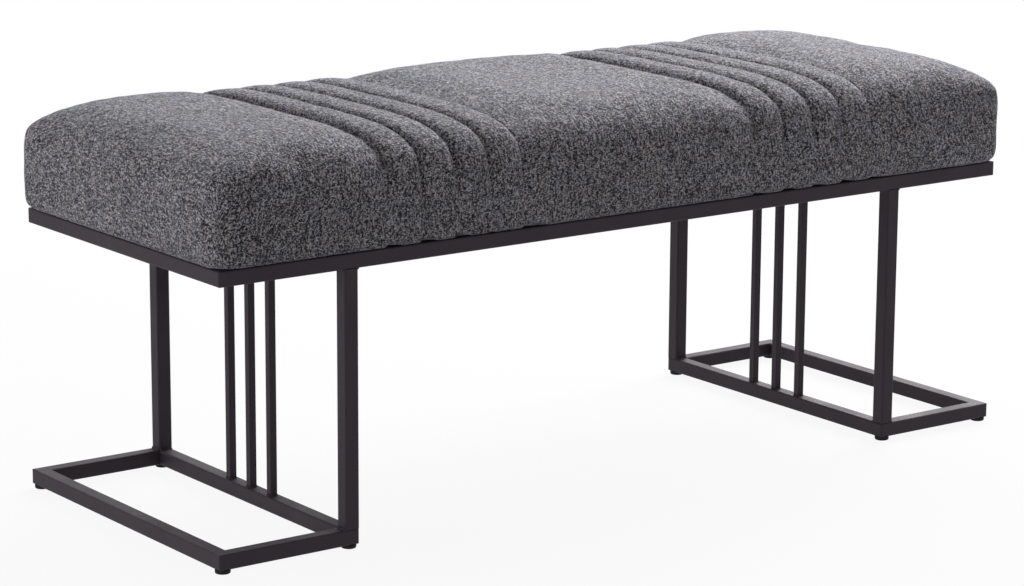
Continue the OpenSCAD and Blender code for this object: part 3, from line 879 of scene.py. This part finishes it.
class BENCH_OT_cushion(bpy.types.Operator):
    """Make the seat cushion: a channel-sewn cover, swollen by its filling and turned in under the board"""
    bl_idname = "bench.cushion"
    bl_label = "Cushion"

    def execute(self, context):
        shape = cushion_shape(context.scene.bench_cushion)
        cover = add_object(build_cover(shape), "seat_cushion", tweed_material(context.scene.bench_cloth))
        swell_cover(cover, shape)
        divide = cover.modifiers.new("divide", "SUBSURF")
        divide.levels = divide.render_levels = 1
        apply_modifiers(cover)
        dress_cover(cover, shape)
        close_bottom(cover, shape)
        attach(cover, "bench")
        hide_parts("seat_cover", "foam_core")
        return {"FINISHED"}


# Small parts

# A fixing tab's length from its rail and width, and how far the end tabs are from the middle line.
TAB_LENGTH, TAB_WIDTH, TAB_PLACE = 0.030, 0.030, 0.120
# The lining's mesh, how far below the board it lies, how many waves there are to a metre, and over
# what distances it comes loose from its edge, hangs free of a rail and is pulled by its staples.
LINING_COLUMNS, LINING_ROWS = 190, 66
LINING_DROP = 0.0004
LINING_WAVES, LINING_RIPPLES = (9, 16), 30
EDGE_LOOSE = (0.004, 0.05)
RAIL_LOOSE = (0.0, 0.04)
STAPLE_PULL = (0.0, 0.03)
# How far the staples are from the lining's edge, from a rail or tab, and below the board.
STAPLE_INSET, STAPLE_CLEARANCE, STAPLE_DROP = 0.006, 0.007, 0.00065
# How much a staple is turned at random, and how rough a weld's surface is.
STAPLE_SWING, WELD_ROUGHNESS = 0.10, 0.35
# A thread's turn has this many steps.
THREAD_STEPS = 20


def finish_piece(piece, body):
    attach(piece, body)


def rails_and_tabs():
    """Where the cross rails and the fixing tabs are, from the frame."""
    low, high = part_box("right_cross_rail")
    return SimpleNamespace(
        rail=(low.x + high.x) / 2,
        half_rail=(high.x - low.x) / 2,
        end_tab=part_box("right_end_rail")[0].x - TAB_LENGTH,
        side_tab=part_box("rear_rail")[0].y - TAB_LENGTH,
    )


def clear_of_rails(x, y, under):
    """How far a place under the board is from the cross rails and the fixing tabs that the lining lies on."""
    rail = max(0.0, abs(abs(x) - under.rail) - under.half_rail)
    end_tab = math.hypot(max(0.0, under.end_tab - abs(x)), max(0.0, abs(abs(y) - TAB_PLACE) - TAB_WIDTH / 2))
    side_tab = math.hypot(max(0.0, abs(x) - TAB_WIDTH / 2), max(0.0, under.side_tab - abs(y)))
    return min(rail, end_tab, side_tab)


def lining_drop(small, under, high, x, y):
    """How far the stretched lining hangs down at a place: a little between its staples and its rails."""
    inward_x, inward_y = high.x - abs(x), high.y - abs(y)
    edge = min(inward_x, inward_y)
    loose = smooth_step(edge, *EDGE_LOOSE) * smooth_step(clear_of_rails(x, y, under), *RAIL_LOOSE)
    wave = noise.noise(Vector((x * LINING_WAVES[0], y * LINING_WAVES[1], 0)))
    ripple = noise.noise(Vector((x * LINING_RIPPLES, y * LINING_RIPPLES, 3)))
    sag = small.lining_sag * keep_between(0.5 + 0.5 * wave + 0.25 * ripple, 0, 1) * loose
    pulled = math.cos(math.tau * (x if inward_y < inward_x else y) / small.staple_pitch)
    slack = 0.25 * small.lining_sag * (1 - pulled) / 2 * (1 - smooth_step(edge, *STAPLE_PULL))
    return LINING_DROP + sag + slack * 0.5


class BENCH_OT_dust_cover(bpy.types.Operator):
    """Stretch the black dust cover under the board and staple its edge"""
    bl_idname = "bench.dust_cover"
    bl_label = "Dust cover"

    def execute(self, context):
        small = sizes_of(context.scene.bench_small)
        under = rails_and_tabs()
        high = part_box("dust_cover")[1]
        bm = bmesh.new()
        bmesh.ops.create_grid(bm, x_segments=LINING_COLUMNS, y_segments=LINING_ROWS, size=1)
        for vert in bm.verts:
            x, y = vert.co.x * high.x, vert.co.y * high.y
            vert.co = Vector((x, y, high.z - lining_drop(small, under, high, x, y)))
        lining = add_object(bm, "dust_cover_cloth", finish_of("dust_cover"))
        finish_piece(lining, "bench")
        solid = lining.modifiers.new("thickness", "SOLIDIFY")
        solid.thickness, solid.offset = small.lining, 0
        apply_modifiers(lining)
        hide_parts("dust_cover")
        bm = bmesh.new()
        for x, y, turned in staple_places(small, under, high.x - STAPLE_INSET, high.y - STAPLE_INSET):
            add_staple(bm, small, Vector((x, y, high.z - STAPLE_DROP)), turned)
        staples = add_object(bm, "dust_cover_staples", finish_of("tab_screws"))
        finish_piece(staples, "bench")
        return {"FINISHED"}


def staple_places(small, under, half_x, half_y):
    """Where the staples go round the lining's edge, leaving out the rails and tabs."""
    places = []
    for along, other, turned in ((half_x, half_y, False), (half_y, half_x, True)):
        count = int(2 * along / small.staple_pitch)
        for k in range(count + 1):
            run = (k - count / 2) * small.staple_pitch
            for sign in (-1, 1):
                x, y = (sign * other, run) if turned else (run, sign * other)
                if clear_of_rails(x, y, under) > STAPLE_CLEARANCE:
                    places.append((x, y, turned))
    return places


def add_staple(bm, small, at, turned):
    """One staple's crown, a flat wire with rounded edges."""
    wire = small.staple_wire
    made = bmesh.ops.create_cube(bm, size=1)["verts"]
    for vert in made:
        vert.co = Vector((vert.co.x * small.staple, vert.co.y * wire * 1.3, vert.co.z * wire))
    edges = list(dict.fromkeys(e for v in made for e in v.link_edges))
    rounded = bmesh.ops.bevel(
        bm, geom=edges, offset=wire * 0.3, affect="EDGES", segments=2, profile=0.5, material=-1,
    )["verts"]
    swing = STAPLE_SWING * noise.noise(at * 40) + (math.pi / 2 if turned else 0)
    moved = Matrix.Translation(at) @ Matrix.Rotation(swing, 4, "Z")
    bmesh.ops.transform(bm, matrix=moved, verts=list(rounded))


def weld_run(bm, start, end, radius):
    """A run of overlapping drops of weld metal between two points."""
    count = max(2, round((end - start).length / (1.05 * radius)))
    for k in range(count):
        at = start.lerp(end, (k + 0.5) / count)
        moved = Matrix.Translation(at)
        drop = bmesh.ops.create_uvsphere(bm, u_segments=8, v_segments=6, radius=radius, matrix=moved)
        for vert in drop["verts"]:
            vert.co += (vert.co - at) * WELD_ROUGHNESS * noise.noise(vert.co * 700)


def welds_round(bm, box, height, radius, sides):
    """Weld runs along some of a bar's four sides at one height."""
    low, high = box
    inset = 0.7 * radius
    runs = {
        "left": ((low.x, low.y + inset), (low.x, high.y - inset)),
        "right": ((high.x, low.y + inset), (high.x, high.y - inset)),
        "front": ((low.x + inset, low.y), (high.x - inset, low.y)),
        "rear": ((low.x + inset, high.y), (high.x - inset, high.y)),
    }
    for name in sides:
        first, last = runs[name]
        weld_run(bm, Vector((*first, height)), Vector((*last, height)), radius)


class BENCH_OT_welds(bpy.types.Operator):
    """Lay the weld beads at both ends of the thin bars and the posts"""
    bl_idname = "bench.welds"
    bl_label = "Welds"

    def execute(self, context):
        small = sizes_of(context.scene.bench_small)
        coat = finish_of("front_rail")
        bars = bmesh.new()
        for name in THIN_BARS:
            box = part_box(name)
            for height in (box[0].z, box[1].z):
                welds_round(bars, box, height, small.bar_weld, ("left", "right", "front", "rear"))
        finish_piece(add_object(bars, "thin_bar_welds", coat), "bench")
        posts = bmesh.new()
        for name in POSTS:
            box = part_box(name)
            outward, inward = ("left", "right") if name.startswith("left") else ("right", "left")
            behind = "rear" if name.endswith("front_post") else "front"
            welds_round(posts, box, box[0].z, small.post_weld, (outward, behind))
            welds_round(posts, box, box[1].z, small.post_weld, (outward, inward, behind))
        finish_piece(add_object(posts, "post_welds", coat), "bench")
        return {"FINISHED"}


class BENCH_OT_feet(bpy.types.Operator):
    """Cut the threads of the levelling feet's studs"""
    bl_idname = "bench.feet"
    bl_label = "Threaded studs"

    def execute(self, context):
        small = sizes_of(context.scene.bench_small)
        for foot in FEET:
            low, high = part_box(foot + "_stud")
            pitch = small.thread_pitch
            turns = round((high.z - low.z) / pitch) - 1
            bm = bmesh.new()
            flank = ((small.thread_root, 0.0), (small.thread_crest, 0.5), (small.thread_root, 1.0))
            corners = [bm.verts.new((radius, 0, pitch * part)) for radius, part in flank]
            profile = [bm.edges.new(corners[k:k + 2]) for k in (0, 1)]
            bmesh.ops.spin(
                bm, geom=corners + profile, cent=(0, 0, 0), axis=(0, 0, 1), dvec=(0, 0, pitch / THREAD_STEPS),
                angle=math.tau * turns, steps=THREAD_STEPS * turns,
            )
            bmesh.ops.remove_doubles(bm, verts=bm.verts[:], dist=1e-5)
            bmesh.ops.holes_fill(bm, edges=[e for e in bm.edges if e.is_boundary], sides=0)
            bmesh.ops.recalc_face_normals(bm, faces=bm.faces[:])
            middle = (low + high) / 2
            bmesh.ops.translate(bm, vec=(middle.x, middle.y, low.z), verts=bm.verts[:])
            stud = add_object(bm, foot + "_threaded_stud", finish_of(foot + "_stud"), smooth=False)
            finish_piece(stud, foot + "_foot")
            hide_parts(foot + "_stud")
        return {"FINISHED"}


# Stage

# Each lamp's name, place and two sides, and the point that all of them shine towards.
LAMPS = (
    ("right", (2.4, 1.2, 2.0), (2.2, 2.2)),
    ("overhead", (0.2, 0.8, 2.7), (3.0, 2.0)),
    ("rear", (0.6, 3.2, 1.7), (3.0, 1.6)),
    ("left", (-3.2, 0.3, 0.55), (1.6, 1.0)),
    ("front", (0.5, -3.5, 1.6), (2.6, 1.6)),
)
LAMP_AIM = (0.0, 0.0, 0.4)
# Distances from the middle of the floor between which its shadows fade to white.
SHADOW_NEAR, SHADOW_FAR = 0.7, 2.2
# The camera's sensor in millimetres, and how near and far it sees in metres.
SENSOR_WIDTH = 36
CLIP_NEAR, CLIP_FAR = 0.05, 200


def seen_directly(tree):
    """1 for what the camera sees, also in reflections and through clear things, and 0 for thrown light."""
    path = add_node(tree, "LightPath").outputs
    seen = maths(tree, "MAXIMUM", path["Is Camera Ray"], path["Is Glossy Ray"])
    return maths(tree, "MAXIMUM", seen, path["Is Transmission Ray"])


def floor_material(look):
    """Pale floor: white to the camera apart from the object's shadow, and greyer to the light it returns."""
    material, tree, shader = new_material("pale_floor")
    tree.nodes.remove(shader)
    seen = seen_directly(tree)
    tone = mixed(tree, seen, rgba(grey(look.floor_grey)), rgba(grey(0.98)))
    matt = add_node(tree, "BsdfDiffuse", {"Color": tone}).outputs[0]
    glow = add_node(tree, "Emission", {"Color": rgba(grey(1.0)), "Strength": 1.0}).outputs[0]
    away = add_node(tree, "VectorMath", {0: object_place(tree)}, operation="LENGTH").outputs["Value"]
    fade = {0: away, 1: SHADOW_NEAR, 2: SHADOW_FAR, 3: look.floor_white, 4: 1.0}
    steady = add_node(tree, "MapRange", fade).outputs[0]
    lit = add_node(tree, "MixShader", {0: maths(tree, "MULTIPLY", seen, steady), 1: matt, 2: glow}).outputs[0]
    tree.links.new(lit, tree.nodes["Material Output"].inputs[0])
    return material


def add_lamp(name, at, towards, size, strength):
    """A large soft area lamp that shines towards a point."""
    lamp = bpy.data.lights.new(name, "AREA")
    lamp.shape, lamp.size, lamp.size_y = "RECTANGLE", *size
    lamp.energy = strength
    made = bpy.data.objects.new(name, lamp)
    bpy.context.scene.collection.objects.link(made)
    made.location = at
    made.rotation_euler = (Vector(towards) - Vector(at)).to_track_quat("-Z", "Y").to_euler()
    made.visible_camera = False


def light_the_room(look):
    """A world that is white to the camera and in reflections, and dim as light."""
    world = bpy.data.worlds.new("studio")
    bpy.context.scene.world = world
    world.use_nodes = True
    tree = world.node_tree
    background = tree.nodes["Background"]
    strength = maths(tree, "MULTIPLY_ADD", seen_directly(tree), 1 - look.room, look.room)
    tree.links.new(strength, background.inputs["Strength"])
    background.inputs["Color"].default_value = (1, 1, 1, 1)


def place_camera(look):
    """A camera at the photograph's viewing angle."""
    level = math.cos(look.tilt)
    ahead = Vector((math.cos(look.yaw) * level, math.sin(look.yaw) * level, -math.sin(look.tilt)))
    right = Vector((math.sin(look.yaw), -math.cos(look.yaw), 0))
    up = right.cross(ahead)
    cosine, sine = math.cos(look.roll), math.sin(look.roll)
    right, up = right * cosine + up * sine, up * cosine - right * sine
    camera = bpy.data.objects.new("camera", bpy.data.cameras.new("camera"))
    bpy.context.scene.collection.objects.link(camera)
    camera.matrix_world = Matrix.Translation(look.eye) @ Matrix((right, up, -ahead)).transposed().to_4x4()
    camera.data.sensor_fit = "HORIZONTAL"
    camera.data.sensor_width = SENSOR_WIDTH
    camera.data.lens = look.lens
    camera.data.clip_start, camera.data.clip_end = CLIP_NEAR, CLIP_FAR
    bpy.context.scene.camera = camera


class BENCH_OT_stage(bpy.types.Operator):
    """Set the stage: a pale floor, soft studio light and the camera"""
    bl_idname = "bench.stage"
    bl_label = "Stage"

    def execute(self, context):
        look = context.scene.bench_stage
        bm = bmesh.new()
        bmesh.ops.create_circle(bm, cap_ends=True, segments=96, radius=look.floor_radius)
        floor = add_object(bm, "floor", floor_material(look), smooth=False)
        for name, at, size in LAMPS:
            add_lamp(name, at, LAMP_AIM, size, getattr(look, name))
        light_the_room(look)
        place_camera(look)
        context.scene.view_settings.view_transform = "Standard"
        return {"FINISHED"}


class BENCH_OT_finishes(bpy.types.Operator):
    """Coat the frame and finish the other hard parts"""
    bl_idname = "bench.finishes"
    bl_label = "Finishes"

    def execute(self, context):
        finish_frame(context.scene.bench_finish)
        return {"FINISHED"}


class BENCH_PT_panel(bpy.types.Panel):
    """Lists the bench's pieces and their sizes"""
    bl_idname = "BENCH_PT_panel"
    bl_label = "Bench"
    bl_space_type = "VIEW_3D"
    bl_region_type = "UI"
    bl_category = "Bench"

    def draw(self, context):
        for operator in PIECES:
            self.layout.operator(operator.bl_idname)
        for name, group in GROUPS.items():
            box = self.layout.box()
            box.label(text=group.__doc__)
            for prop in group.__annotations__:
                box.prop(getattr(context.scene, name), prop)


PIECES = (
    BENCH_OT_stage, BENCH_OT_finishes, BENCH_OT_cushion, BENCH_OT_dust_cover, BENCH_OT_welds, BENCH_OT_feet,
)
GROUPS = {
    "bench_cushion": CushionSizes,
    "bench_cloth": ClothLook,
    "bench_finish": FinishLook,
    "bench_small": SmallSizes,
    "bench_stage": StageLook,
}


def register():
    for cls in (*GROUPS.values(), *PIECES, BENCH_PT_panel):
        bpy.utils.register_class(cls)
    for name, group in GROUPS.items():
        setattr(bpy.types.Scene, name, PointerProperty(type=group))


def unregister():
    for name in GROUPS:
        delattr(bpy.types.Scene, name)
    for cls in reversed((*GROUPS.values(), *PIECES, BENCH_PT_panel)):
        bpy.utils.unregister_class(cls)


def main():
    register()
    for name in ("stage", "finishes", "cushion", "dust_cover", "welds", "feet"):
        getattr(bpy.ops.bench, name)()


if __name__ == "__main__":
    main()
